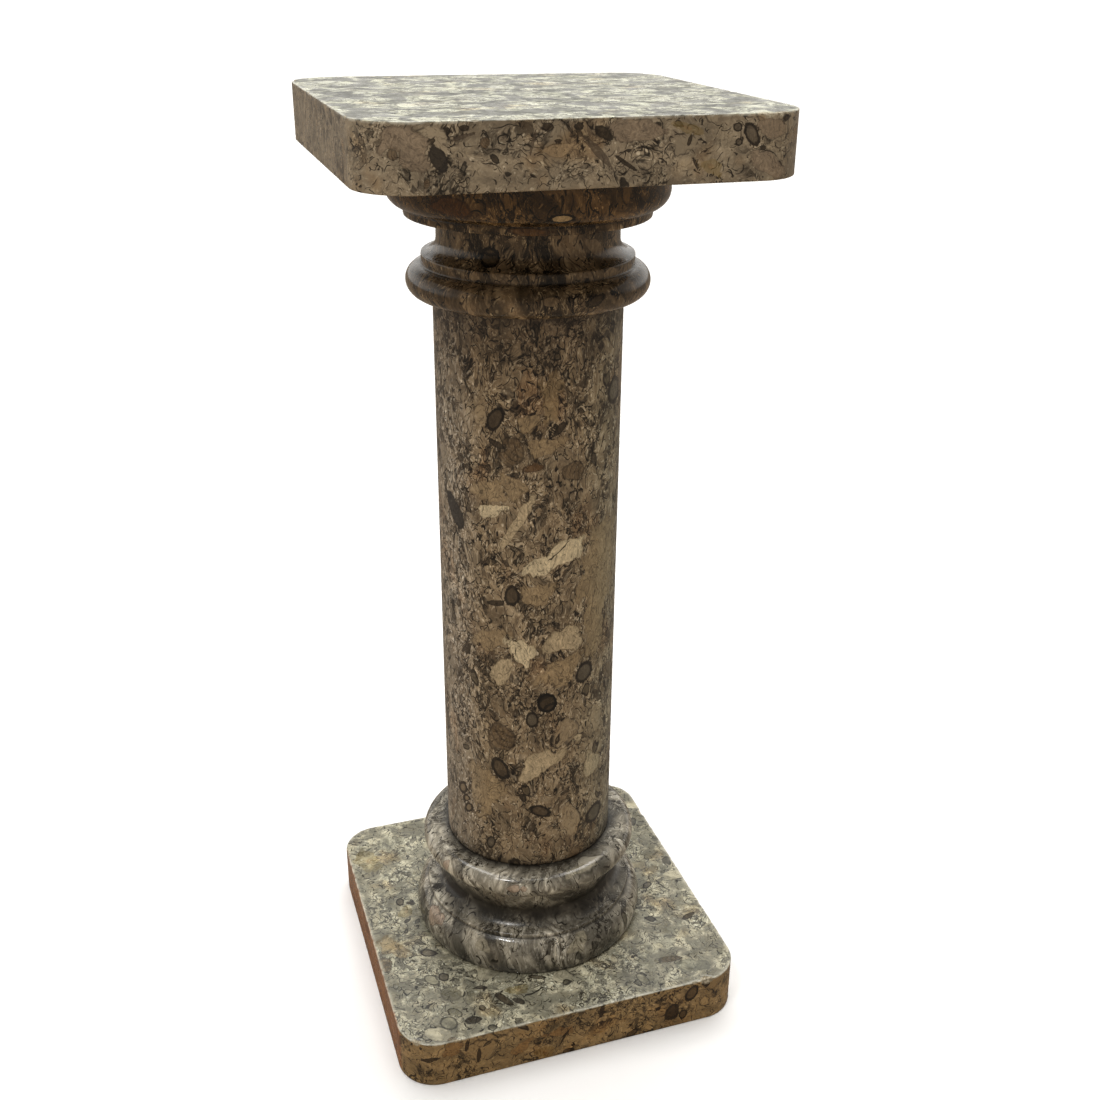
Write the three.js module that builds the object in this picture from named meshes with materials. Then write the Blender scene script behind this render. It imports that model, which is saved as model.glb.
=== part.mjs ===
import * as THREE from 'three';

// Marble pedestal in five stacked pieces: a square plinth, a turned base, a round shaft,
// a turned capital and a square top slab. Millimetres, +Z up, standing on z = 0.

// Square slabs
const plinthSide = 300;
const plinthThickness = 44.4;
const plinthCornerRadius = 32;
const topSlabSide = 300;
const topSlabThickness = 42.5;
const topSlabCornerRadius = 38;
const arrisWidth = 1.6;

// Base, from the plinth up: lower torus, fillet, cove, neck, upper torus
const lowerTorusRadius = 102.4;
const lowerTorusBulge = 16.2;
const lowerTorusHalfHeight = 22;
const lowerTorusWidestHeight = 11;
const baseFilletRadius = 91.5;
const baseFilletHeight = 3.6;
const baseCoveRadius = 15;
const baseNeckHeight = 23.4;
const upperTorusRadius = 94.2;
const upperTorusBulge = 10.3;

// Shaft
const shaftRadius = 72.1;
const shaftLength = 479.4;

// Capital, from the shaft up: torus, fillet, cove, neck, lip, ovolo, drum
const capitalTorusRadius = 91.6;
const capitalTorusBulge = 11.5;
const capitalFilletRadius = 79.7;
const capitalFilletHeight = 8;
const capitalCoveRadius = 11.4;
const capitalNeckHeight = 16.9;
const lipRadius = 91.5;
const lipHeight = 6.1;
const lipRounding = 1.2;
const ovoloRadius = 13.5;
const drumRadius = 104.3;
const drumHeight = 20.4;

// Fineness of the facets
const turnSides = 60;
const torusSteps = 10;
const coveSteps = 6;
const roundingSteps = 2;
const cornerSteps = 8;

function stone(red, green, blue, roughness) {
  const color = new THREE.Color().setRGB(red, green, blue, THREE.SRGBColorSpace);
  return new THREE.MeshStandardMaterial({ color, roughness, metalness: 0 });
}

// Points of an elliptical arc in the profile's plane: x is the radius and y the height
function arc(centre, reach, startDegrees, endDegrees, steps) {
  const points = [];
  for (let step = 0; step <= steps; step += 1) {
    const degrees = startDegrees + ((endDegrees - startDegrees) * step) / steps;
    const angle = THREE.MathUtils.degToRad(degrees);
    points.push(new THREE.Vector2(
      centre.x + reach.x * Math.cos(angle),
      centre.y + reach.y * Math.sin(angle),
    ));
  }
  return points;
}

// Turns an open profile, listed from the bottom up, into a solid around +Z
function turned(profile) {
  const bottom = new THREE.Vector2(0, profile[0].y);
  const top = new THREE.Vector2(0, profile[profile.length - 1].y);
  const geometry = new THREE.LatheGeometry([bottom, ...profile, top], turnSides);
  geometry.rotateX(Math.PI / 2);
  return geometry;
}

// A square slab with round corners and a small chamfer along both faces
function slab(side, thickness, cornerRadius) {
  const half = side / 2;
  const inner = half - cornerRadius;
  const outline = new THREE.Shape();
  outline.moveTo(half, -inner);
  outline.absarc(inner, inner, cornerRadius, 0, Math.PI / 2);
  outline.absarc(-inner, inner, cornerRadius, Math.PI / 2, Math.PI);
  outline.absarc(-inner, -inner, cornerRadius, Math.PI, 1.5 * Math.PI);
  outline.absarc(inner, -inner, cornerRadius, 1.5 * Math.PI, 2 * Math.PI);
  const geometry = new THREE.ExtrudeGeometry(outline, {
    depth: thickness - 2 * arrisWidth,
    curveSegments: cornerSteps,
    bevelEnabled: true,
    bevelSegments: 1,
    bevelSize: arrisWidth,
    bevelThickness: arrisWidth,
    bevelOffset: -arrisWidth,
  });
  geometry.translate(0, 0, arrisWidth);
  return geometry;
}

// A half-round moulding that starts at a given height and stands out to a given radius
function torus(radius, bulge, height) {
  const centre = new THREE.Vector2(radius - bulge, height + bulge);
  return arc(centre, new THREE.Vector2(bulge, bulge), -90, 90, torusSteps);
}

// A hollow quarter-round from a fillet's upper edge in to the neck
function cove(filletRadius, radius, height) {
  const centre = new THREE.Vector2(filletRadius, height + radius);
  return arc(centre, new THREE.Vector2(radius, radius), 270, 180, coveSteps);
}

function baseProfile() {
  const centre = new THREE.Vector2(lowerTorusRadius - lowerTorusBulge, lowerTorusWidestHeight);
  const reach = new THREE.Vector2(lowerTorusBulge, lowerTorusHalfHeight);
  const footAngle = -THREE.MathUtils.radToDeg(Math.asin(lowerTorusWidestHeight / lowerTorusHalfHeight));
  const topAngle = THREE.MathUtils.radToDeg(Math.acos((baseFilletRadius - centre.x) / lowerTorusBulge));
  const lowerTorus = arc(centre, reach, footAngle, topAngle, torusSteps);
  const filletTop = lowerTorus[torusSteps].y + baseFilletHeight;
  const neckBottom = filletTop + baseCoveRadius;
  const neckTop = neckBottom + baseNeckHeight;
  return [
    ...lowerTorus,
    ...cove(baseFilletRadius, baseCoveRadius, filletTop),
    new THREE.Vector2(baseFilletRadius - baseCoveRadius, neckTop),
    ...torus(upperTorusRadius, upperTorusBulge, neckTop),
  ];
}

function capitalProfile() {
  const filletBottom = 2 * capitalTorusBulge;
  const filletTop = filletBottom + capitalFilletHeight;
  const neckBottom = filletTop + capitalCoveRadius;
  const lipBottom = neckBottom + capitalNeckHeight;
  const lipTop = lipBottom + lipHeight;
  const ovoloTop = lipTop + ovoloRadius;
  const lipRound = new THREE.Vector2(lipRadius - lipRounding, lipBottom + lipRounding);
  const ovoloCentre = new THREE.Vector2(drumRadius - ovoloRadius, ovoloTop);
  return [
    ...torus(capitalTorusRadius, capitalTorusBulge, 0),
    new THREE.Vector2(capitalFilletRadius, filletBottom),
    ...cove(capitalFilletRadius, capitalCoveRadius, filletTop),
    new THREE.Vector2(capitalFilletRadius - capitalCoveRadius, lipBottom),
    ...arc(lipRound, new THREE.Vector2(lipRounding, lipRounding), -90, 0, roundingSteps),
    new THREE.Vector2(lipRadius, lipTop),
    ...arc(ovoloCentre, new THREE.Vector2(ovoloRadius, ovoloRadius), -90, 0, coveSteps),
    new THREE.Vector2(drumRadius, ovoloTop + drumHeight),
  ];
}

function profileHeight(profile) {
  return profile[profile.length - 1].y - profile[0].y;
}

function shaftProfile() {
  return [new THREE.Vector2(shaftRadius, 0), new THREE.Vector2(shaftRadius, shaftLength)];
}

// Every piece rests on the one before it
const pieces = [
  {
    name: 'plinth',
    geometry: slab(plinthSide, plinthThickness, plinthCornerRadius),
    height: plinthThickness,
    material: stone(0.45, 0.41, 0.33, 0.45),
  },
  {
    name: 'base',
    geometry: turned(baseProfile()),
    height: profileHeight(baseProfile()),
    material: stone(0.33, 0.3, 0.25, 0.3),
  },
  {
    name: 'shaft',
    geometry: turned(shaftProfile()),
    height: shaftLength,
    material: stone(0.38, 0.31, 0.23, 0.35),
  },
  {
    name: 'capital',
    geometry: turned(capitalProfile()),
    height: profileHeight(capitalProfile()),
    material: stone(0.33, 0.3, 0.25, 0.3),
  },
  {
    name: 'top_slab',
    geometry: slab(topSlabSide, topSlabThickness, topSlabCornerRadius),
    height: topSlabThickness,
    material: stone(0.45, 0.41, 0.33, 0.45),
  },
];

const pedestal = new THREE.Group();
let level = 0;
for (const piece of pieces) {
  const mesh = new THREE.Mesh(piece.geometry, piece.material);
  mesh.name = piece.name;
  mesh.position.z = level;
  pedestal.add(mesh);
  level += piece.height;
}

export default pedestal;
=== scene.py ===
import math

import bpy
import numpy as np
from mathutils import Matrix, Vector


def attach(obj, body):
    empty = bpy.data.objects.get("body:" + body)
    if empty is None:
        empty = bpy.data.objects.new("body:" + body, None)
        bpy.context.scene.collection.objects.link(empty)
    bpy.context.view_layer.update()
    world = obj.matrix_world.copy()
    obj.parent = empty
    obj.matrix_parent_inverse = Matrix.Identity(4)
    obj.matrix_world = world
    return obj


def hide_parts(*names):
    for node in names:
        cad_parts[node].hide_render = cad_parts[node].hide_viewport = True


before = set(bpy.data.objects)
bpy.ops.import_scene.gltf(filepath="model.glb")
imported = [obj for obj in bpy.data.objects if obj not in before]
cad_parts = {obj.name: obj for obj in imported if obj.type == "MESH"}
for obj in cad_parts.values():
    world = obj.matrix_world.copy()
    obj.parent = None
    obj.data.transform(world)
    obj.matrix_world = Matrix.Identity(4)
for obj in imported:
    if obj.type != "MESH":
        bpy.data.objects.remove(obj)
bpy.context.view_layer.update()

mm = 0.001
print('Marble pedestal: frame loaded,', len(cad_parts), 'nodes')


# Meshes. Every piece is a closed grid of rings, from the middle of its underside, up its outside,
# to the middle of its top, with one point at each pole.

def intoScene(name, data):
    thing = bpy.data.objects.new(name, data)
    bpy.context.scene.collection.objects.link(thing)
    return thing


def writeField(mesh, label, values, kind='FLOAT', part='value'):
    field = mesh.attributes.new(name=label, type=kind, domain='POINT')
    field.data.foreach_set(part, values.astype(np.float32).reshape(-1))


def closedMesh(name, rings, bottom, top, fields):
    # rings is rows x columns x 3, counterclockwise seen from above; the faces point outwards
    rows, columns = rings.shape[:2]
    points = np.concatenate([rings.reshape(-1, 3), [bottom, top]]).astype(np.float32)
    here = np.arange(columns)
    following = (here + 1) % columns
    row = np.arange(rows - 1)[:, None] * columns
    quads = np.stack([row + here, row + following, row + columns + following, row + columns + here], -1)
    last = (rows - 1) * columns
    bottomPole = np.full(columns, rows * columns)
    fans = np.concatenate([
        np.stack([bottomPole, following, here], -1),
        np.stack([last + here, last + following, bottomPole + 1], -1),
    ])
    corners = np.concatenate([quads.reshape(-1), fans.reshape(-1)]).astype(np.int32)
    sizes = np.concatenate([np.full(quads.size // 4, 4), np.full(len(fans), 3)]).astype(np.int32)
    mesh = bpy.data.meshes.new(name)
    mesh.vertices.add(len(points))
    mesh.vertices.foreach_set('co', points.reshape(-1))
    mesh.loops.add(len(corners))
    mesh.loops.foreach_set('vertex_index', corners)
    mesh.polygons.add(len(sizes))
    mesh.polygons.foreach_set('loop_start', (np.cumsum(sizes) - sizes).astype(np.int32))
    mesh.update(calc_edges=True)
    mesh.polygons.foreach_set('use_smooth', np.ones(len(sizes), dtype=bool))
    for label, values in fields.items():
        ends = [values[0].mean(), values[-1].mean()]
        writeField(mesh, label, np.concatenate([values.reshape(-1), ends]))
    mesh.validate()
    return intoScene(name, mesh)


def unevenness(turn, knots, seed):
    # Random heights between -1 and 1 at even knots round the piece, joined by cosine curves
    heights = np.random.RandomState(seed).uniform(-1, 1, knots)
    place = (turn % 1) * knots
    before = np.floor(place).astype(int) % knots
    share = 0.5 - 0.5 * np.cos(np.pi * (place - np.floor(place)))
    return heights[before] * (1 - share) + heights[(before + 1) % knots] * share


def slabOutline(spec):
    # Even steps round a square with quarter-circle corners: distance, place and outward direction
    half, corner = spec['side'] * mm / 2, spec['cornerRadius'] * mm
    run, bendLength = half - corner, math.pi * corner / 2
    quarter = 2 * run + bendLength
    along = np.arange(spec['around']) / spec['around'] * 4 * quarter
    turns = np.floor(along / quarter)
    part = along - turns * quarter
    bend = np.clip((part - run) / bendLength, 0, 1) * math.pi / 2
    x = run + corner * np.cos(bend) - np.clip(part - run - bendLength, 0, None)
    y = np.minimum(part, run) + corner * np.sin(bend)
    cosTurn, sinTurn = np.cos(turns * math.pi / 2), np.sin(turns * math.pi / 2)
    outline = np.stack([x * cosTurn - y * sinTurn, x * sinTurn + y * cosTurn], -1)
    outward = np.stack([np.cos(bend + turns * math.pi / 2), np.sin(bend + turns * math.pi / 2)], -1)
    return along, 4 * quarter, outline, outward


def slabSection(spec, share):
    # Rings along the underside, round the lower arris, up the side, round the worn upper arris and back
    # over the top: how far in from the outline, how high, and to what share the ring is shrunk
    thick, lower, reach = spec['thickness'] * mm, spec['lowerArris'] * mm, spec['upperArris'] * mm
    underRows, lowerRows, sideRows, upperRows, edgeRows, middleRows = 10, 6, 26, 9, 37, 11
    poleShare, edgeShare, margin = 0.04, 0.66, 0.4 * mm
    slow, quick = unevenness(share, 60, spec['seed']), unevenness(share, 260, spec['seed'] + 1)
    wear = (reach * (0.62 + 0.24 * slow + 0.14 * quick))[None, :]
    flat = np.ones_like(wear)
    lowerAngle = np.linspace(0, math.pi / 2, lowerRows)[:, None]
    upperAngle = np.linspace(0, math.pi / 2, upperRows)[:, None]
    sideShare = np.linspace(0, 1, sideRows + 2)[1:-1, None]
    overShrink = np.concatenate([np.linspace(1, edgeShare, edgeRows),
                                 np.linspace(edgeShare, poleShare, middleRows)[1:]])
    inset = np.concatenate([
        np.repeat((lower + margin) * flat, underRows, 0),
        lower * (1 - np.sin(lowerAngle)) * flat,
        np.repeat(0 * flat, sideRows, 0),
        wear * (1 - np.cos(upperAngle)),
        np.repeat((reach + margin) * flat, len(overShrink), 0),
    ])
    level = np.concatenate([
        np.repeat(0 * flat, underRows, 0),
        lower * (1 - np.cos(lowerAngle)) * flat,
        lower + (thick - wear - lower) * sideShare,
        thick - wear * (1 - np.sin(upperAngle)),
        np.repeat(thick * flat, len(overShrink), 0),
    ])
    unshrunk = np.ones(lowerRows + sideRows + upperRows)
    shrink = np.concatenate([np.linspace(poleShare, 1, underRows), unshrunk, overShrink])[:, None]
    return inset, level, shrink


def slabDents(spec, along, whole, outline, fromEdge):
    # Chips that are deepest on the upper edge and fade along it, down the side and over the top
    wides, deeps, downs = (1, 3.2), (0.25, 0.7), (0.6, 1.6)
    bowlPower, rasp, raspAlong, raspInward, raspSway = 0.6, 0.3, 5200, 2600, 3
    draw = np.random.RandomState(spec['seed'] + 2)
    nicks = [
        (draw.uniform(0, whole), draw.uniform(*wides), draw.uniform(*deeps), draw.uniform(*downs))
        for _ in range(spec['nicks'])
    ]
    placed = [
        (along[np.argmin(np.hypot(outline[:, 0] - x * mm, outline[:, 1] - y * mm))], wide, deep, down)
        for x, y, wide, deep, down in spec['chips']
    ]
    dent = np.zeros_like(fromEdge)
    for place, wide, deep, down in nicks + placed:
        offset = np.abs(along - place)
        offset = np.minimum(offset, whole - offset)[None, :]
        bowl = 1 - (offset / (wide * mm)) ** 2 - (fromEdge / (down * mm)) ** 2
        rough = 1 + rasp * np.sin(along[None, :] * raspAlong + raspSway * np.sin(fromEdge * raspInward))
        dent = np.maximum(dent, deep * mm * np.clip(bowl, 0, 1) ** bowlPower * rough)
    return dent


def slabPiece(name, spec):
    # place = (outline - outward x inset) x shrink, and the dents push it in and down
    thick, base = spec['thickness'] * mm, spec['height'] * mm
    pushIn, pushDown, fullChip, arrisDepth = 0.75, 0.65, 0.25 * mm, 0.7 * mm
    along, whole, outline, outward = slabOutline(spec)
    inset, level, shrink = slabSection(spec, along / whole)
    inward = inset + (1 - shrink) * spec['side'] * mm / 2
    dent = slabDents(spec, along, whole, outline, np.maximum(inward, thick - level))
    flatPoints = (outline[None] - outward[None] * inset[..., None]) * shrink[..., None]
    flatPoints = flatPoints - outward[None] * (pushIn * dent)[..., None]
    level = level - pushDown * dent
    points = np.concatenate([flatPoints, (base + level)[..., None]], -1)
    arris = np.exp(-(inward / (spec['arrisLine'] * mm)) ** 2) * (thick - level < arrisDepth)
    fields = {'arris': arris, 'chip': np.clip(dent / fullChip, 0, 1)}
    return closedMesh(name, points, (0, 0, base), (0, 0, base + thick), fields)


def arcPoints(centre, reach, startDegrees, endDegrees):
    # Points of an elliptical arc in the section: radius and height
    arcSteps = 61
    angle = np.radians(np.linspace(startDegrees, endDegrees, arcSteps))
    return np.stack([centre[0] + reach[0] * np.cos(angle), centre[1] + reach[1] * np.sin(angle)], -1)


def evened(line, distances):
    # Points at given distances along a line of points
    steps = np.hypot(*np.diff(line, axis=0).T)
    total = np.concatenate([[0], np.cumsum(steps)])
    return np.stack([np.interp(distances, total, line[:, 0]), np.interp(distances, total, line[:, 1])], -1)


def lineLength(line):
    return np.hypot(*np.diff(line, axis=0).T).sum()


def softened(line, window):
    # Moving average along the line, with its two ends held
    weights = np.hanning(window + 2)[1:-1]
    weights = weights / weights.sum()
    padded = np.pad(line, ((window // 2, window // 2), (0, 0)), mode='reflect', reflect_type='odd')
    return np.stack([np.convolve(padded[:, axis], weights, mode='valid') for axis in (0, 1)], -1)


def turnedPiece(name, spec, section, creases=()):
    # The section, softened at its corners, carried round the Z axis: place = (radius x cos, radius x sin,
    # height). Its radius wavers a little, as on stone that is ground by hand. Its darkening field is 1 in
    # the hollows, at the joints and in the creases: dark joint lines, and painted shade in the hollows,
    # along the creases and in a broad band by each joint.
    fine, capRings, steadyRadius = 0.1, 9, 20
    line = np.concatenate([[(0, section[0][1])], section, [(0, section[-1][1])]])
    line = evened(line, np.arange(0, lineLength(line), fine))
    line = softened(line, 2 * int(spec['soften'] / fine / 2) + 1)
    wide = softened(line, 2 * int(spec['hollowReach'] / fine / 2) + 1)
    total = lineLength(line)
    first, last = section[0][0] - spec['capMargin'], section[-1][0] - spec['capMargin']
    distances = np.concatenate([
        np.linspace(0, first, capRings)[1:-1],
        np.linspace(first, total - last, int((total - first - last) / spec['step'])),
        np.linspace(total - last, total, capRings)[1:-1],
    ])
    rings = evened(line, distances)
    wideRadius = np.interp(distances, np.linspace(0, total, len(wide)), wide[:, 0])
    turn = np.arange(spec['around']) / spec['around']
    angle = 2 * math.pi * turn
    slow, quick = unevenness(turn, 11, spec['seed']), unevenness(turn, 29, spec['seed'] + 1)
    waver = spec['waver'] * (0.6 * slow + 0.4 * quick)
    outer = np.clip((rings[:, 0] - steadyRadius) / steadyRadius, 0, 1)
    radius = (rings[:, 0][:, None] + outer[:, None] * waver[None, :]) * mm
    level = np.repeat(rings[:, 1][:, None], spec['around'], 1) * mm
    points = np.stack([radius * np.cos(angle), radius * np.sin(angle), level], -1)
    # Painted shade, darker where the section is more hollow
    jointsAndShade = np.clip((wideRadius - rings[:, 0]) / spec['hollowDepth'], 0, 1)
    joints = [(jointRadius, section[end][1]) for jointRadius, end in zip(spec['jointRadii'], (0, -1))]
    lines = [(place, 1, spec['lineReach']) for place in joints]
    # A broad band of painted shade by each joint, and painted shade along the creases
    lines += [(place, spec['jointShade'], reach) for place, reach in zip(joints, spec['jointReach'])]
    lines += [(place, spec['creaseShade'], spec['lineReach']) for place in creases]
    for (lineRadius, lineLevel), share, reach in lines:
        away = np.hypot(rings[:, 0] - lineRadius, rings[:, 1] - lineLevel)
        jointsAndShade = np.maximum(jointsAndShade, share * np.exp(-(away / reach) ** 2))
    fields = {'jointsAndShade': np.repeat(jointsAndShade[:, None], spec['around'], 1)}
    return closedMesh(name, points, (0, 0, line[0][1] * mm), (0, 0, line[-1][1] * mm), fields)


plinth = {
    'side': 300, 'thickness': 44.4, 'cornerRadius': 32, 'height': 0, 'lowerArris': 1.2,
    'upperArris': 1.3, 'around': 760, 'seed': 11, 'nicks': 22, 'arrisLine': 2.0,
    'chips': [  # x, y, half width, depth, reach down and in
        (116, -150, 5.5, 2.2, 4.5), (104, -150, 3, 0.8, 1.6), (-138, -141, 4, 1.4, 3),
        (-149, 118, 5, 1.2, 2.5), (60, 150, 4, 1.5, 3), (150, 90, 6, 1.3, 2.5),
    ],
}
topSlab = {
    'side': 300, 'thickness': 42.5, 'cornerRadius': 38, 'height': 717.49, 'lowerArris': 1.2,
    'upperArris': 1.2, 'around': 760, 'seed': 31, 'nicks': 20, 'arrisLine': 1.6,
    'chips': [
        (113, -150, 6, 1.2, 2.4), (124, -148, 5, 1.0, 2.2), (-148, 122, 5, 1.4, 2.6),
        (-132, -141, 3, 0.7, 1.5), (40, 150, 5, 1.2, 2.2), (150, -20, 4, 0.9, 2),
    ],
}
plinthStone = slabPiece('plinthStone', plinth)
topSlabStone = slabPiece('topSlabStone', topSlab)
print('Slabs made')

shaftRadius, drumRadius = 72.1, 104.3
# The hollow, joint and crease values set the darkening field: dark joint lines, and painted shade in the
# hollows, along the creases and by the joints
turnedFinish = {
    'around': 384, 'step': 1.05, 'soften': 1.8, 'hollowReach': 36, 'hollowDepth': 9, 'lineReach': 1.3,
    'jointReach': (8, 8), 'jointShade': 0.55, 'creaseShade': 0.8, 'capMargin': 1.5, 'waver': 0.12,
}
base = dict(
    turnedFinish, seed=51, height=plinth['thickness'], jointRadii=(100.2, shaftRadius), hollowReach=130,
    jointReach=(17, 7), lowerTorusRadius=102.4, lowerTorusBulge=16.2, lowerTorusHalfHeight=22,
    lowerTorusWidestHeight=11, filletRadius=91.5, filletHeight=3.6, coveRadius=15, neckHeight=23.4,
    upperTorusRadius=94.2, upperTorusBulge=10.3,
)
shaft = dict(
    turnedFinish, seed=61, around=360, step=1.95, radius=shaftRadius, length=479.4, soften=1.4, waver=0.1,
    capMargin=2.5, jointRadii=(shaftRadius, shaftRadius),
)
capital = dict(
    turnedFinish, seed=71, jointRadii=(shaftRadius, drumRadius), torusRadius=91.6, torusBulge=11.5,
    filletRadius=79.7, filletHeight=8, coveRadius=11.4, neckHeight=16.9, lipRadius=91.5, lipHeight=6.1,
    ovoloRadius=13.5, drumRadius=drumRadius, drumHeight=20.4,
)


def torusSection(radius, bulge, level):
    return arcPoints((radius - bulge, level + bulge), (bulge, bulge), -90, 90)


def coveSection(filletRadius, radius, level):
    return arcPoints((filletRadius, level + radius), (radius, radius), 270, 180)


def baseSection(spec):
    # Tall lower torus, fillet, cove, neck and upper torus, from the plinth up, and the crease in it
    bulge, halfHeight = spec['lowerTorusBulge'], spec['lowerTorusHalfHeight']
    centre = (spec['lowerTorusRadius'] - bulge, spec['height'] + spec['lowerTorusWidestHeight'])
    footAngle = -math.degrees(math.asin(spec['lowerTorusWidestHeight'] / halfHeight))
    topAngle = math.degrees(math.acos((spec['filletRadius'] - centre[0]) / bulge))
    lowerTorus = arcPoints(centre, (bulge, halfHeight), footAngle, topAngle)
    filletTop = lowerTorus[-1][1] + spec['filletHeight']
    neckTop = filletTop + spec['coveRadius'] + spec['neckHeight']
    line = np.concatenate([
        lowerTorus,
        coveSection(spec['filletRadius'], spec['coveRadius'], filletTop),
        torusSection(spec['upperTorusRadius'], spec['upperTorusBulge'], neckTop),
    ])
    return line, [lowerTorus[-1]]


def capitalSection(spec, level):
    # Torus, fillet, cove, neck, lip, ovolo and drum, from the shaft up, and the creases between them
    filletBottom = level + 2 * spec['torusBulge']
    filletTop = filletBottom + spec['filletHeight']
    lipBottom = filletTop + spec['coveRadius'] + spec['neckHeight']
    lipTop = lipBottom + spec['lipHeight']
    ovoloTop = lipTop + spec['ovoloRadius']
    ovoloCentre = (spec['drumRadius'] - spec['ovoloRadius'], ovoloTop)
    neckRadius = spec['filletRadius'] - spec['coveRadius']
    line = np.concatenate([
        torusSection(spec['torusRadius'], spec['torusBulge'], level),
        [(spec['filletRadius'], filletBottom)],
        coveSection(spec['filletRadius'], spec['coveRadius'], filletTop),
        [(neckRadius, lipBottom), (spec['lipRadius'], lipBottom)],
        [(spec['lipRadius'], lipTop)],
        arcPoints(ovoloCentre, (spec['ovoloRadius'], spec['ovoloRadius']), -90, 0),
        [(spec['drumRadius'], ovoloTop + spec['drumHeight'])],
    ])
    return line, [(spec['filletRadius'], filletBottom), (neckRadius, lipBottom), (spec['lipRadius'], lipTop)]


baseLine, baseCreases = baseSection(base)
shaftBottom = baseLine[-1][1]
shaftTop = shaftBottom + shaft['length']
shaftLine = np.array([(shaft['radius'], shaftBottom), (shaft['radius'], shaftTop)])
capitalLine, capitalCreases = capitalSection(capital, shaftTop)
baseStone = turnedPiece('baseStone', base, baseLine, baseCreases)
shaftStone = turnedPiece('shaftStone', shaft, shaftLine)
capitalStone = turnedPiece('capitalStone', capital, capitalLine, capitalCreases)
print('Base, shaft and capital turned')


# Node helpers

def paint(red, green, blue):
    # A colour as a screen shows it, 0 to 255, as the renderer's own linear colour
    shown = np.array([red, green, blue]) / 255
    linear = np.where(shown <= 0.04045, shown / 12.92, ((shown + 0.055) / 1.055) ** 2.4)
    return (*[float(value) for value in linear], 1.0)


def feed(tree, node, values):
    # Links the sockets among the values to the node's inputs and sets the constants
    for key, value in values.items():
        if isinstance(value, bpy.types.NodeSocket):
            tree.links.new(value, node.inputs[key])
        else:
            node.inputs[key].default_value = value


def put(kind, values, tree=None, **settings):
    # Adds a node, in the tree of the first socket that it is fed unless a tree is given
    if tree is None:
        tree = next(value.id_data for value in values.values() if isinstance(value, bpy.types.NodeSocket))
    node = tree.nodes.new('ShaderNode' + kind)
    for key, value in settings.items():
        setattr(node, key, value)
    feed(tree, node, values)
    return node.outputs


def maths(operation, first, second=0.0, clamp=False):
    return put('Math', {0: first, 1: second}, operation=operation, use_clamp=clamp)[0]


def plus(first, second):
    return maths('ADD', first, second)


def minus(first, second):
    return maths('SUBTRACT', first, second)


def times(first, *others):
    for other in others:
        first = maths('MULTIPLY', first, other)
    return first


def vectorMaths(operation, first, second=(0, 0, 0), result=0):
    return put('VectorMath', {0: first, 1: second}, operation=operation)[result]


def scaled(vector, share):
    return put('VectorMath', {0: vector, 3: share}, operation='SCALE')[0]


def step(value, start, stop, low=0.0, high=1.0):
    # Eases from low at start to high at stop
    values = {'Value': value, 'From Min': start, 'From Max': stop, 'To Min': low, 'To Max': high}
    return put('MapRange', values, interpolation_type='SMOOTHSTEP')[0]


def blend(share, under, over, mode='MIX'):
    return put('Mix', {0: share, 6: under, 7: over}, data_type='RGBA', blend_type=mode)[2]


def tinted(colour, tint):
    return blend(1.0, colour, tint, 'MULTIPLY')


def cloud(place, size, detail=2.0, roughness=0.5):
    # Cloudy noise, 0 to 1, with its largest shapes of a given size in mm
    values = {'Vector': place, 'Scale': 1 / (size * mm), 'Detail': detail, 'Roughness': roughness}
    return put('TexNoise', values)[0]


def emptyTree(holder):
    holder.use_nodes = True
    holder.node_tree.nodes.clear()
    return holder.node_tree


def newGroup(name, inputs, outputs):
    # inputs and outputs list their labels under each kind of socket
    group = bpy.data.node_groups.new(name, 'ShaderNodeTree')
    for way, sockets in (('INPUT', inputs), ('OUTPUT', outputs)):
        for kind, labels in sockets.items():
            for label in labels:
                group.interface.new_socket(name=label, in_out=way, socket_type='NodeSocket' + kind)
    return group, group.nodes.new('NodeGroupInput').outputs


def finished(group, results):
    feed(group, group.nodes.new('NodeGroupOutput'), results)
    return group


def use(group, values):
    return put('Group', values, node_tree=group)


# Shared effects. The marble's noises, cells and plates are solid, so its pattern runs through the stone.

middle = (0.5, 0.5, 0.5)


def makeBending():
    # Pushes a place about by cloudy noise, so that what is drawn on it bends
    inputs = {'Vector': ['Place'], 'Float': ['Size', 'Push']}
    group, given = newGroup('stoneBending', inputs, {'Vector': ['Place']})
    scale = maths('DIVIDE', 1.0, given['Size'])
    noise = put('TexNoise', {'Vector': given['Place'], 'Scale': scale, 'Detail': 1.0})['Color']
    push = scaled(vectorMaths('SUBTRACT', noise, middle), times(given['Push'], 2.0))
    return finished(group, {'Place': vectorMaths('ADD', given['Place'], push)})


def stoneCells(given):
    # How far a place is from its cell's own point, as a share of the cell, and the cell's two random colours
    scale = maths('DIVIDE', 1.0, given['Cell'])
    cells = put('TexVoronoi', {'Vector': given['Place'], 'Scale': scale, 'Randomness': 1.0})
    local = scaled(vectorMaths('SUBTRACT', given['Place'], cells['Position']), scale)
    other = put('TexWhiteNoise', {'Vector': cells['Position']}, noise_dimensions='3D')['Color']
    return local, cells['Color'], other


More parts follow.
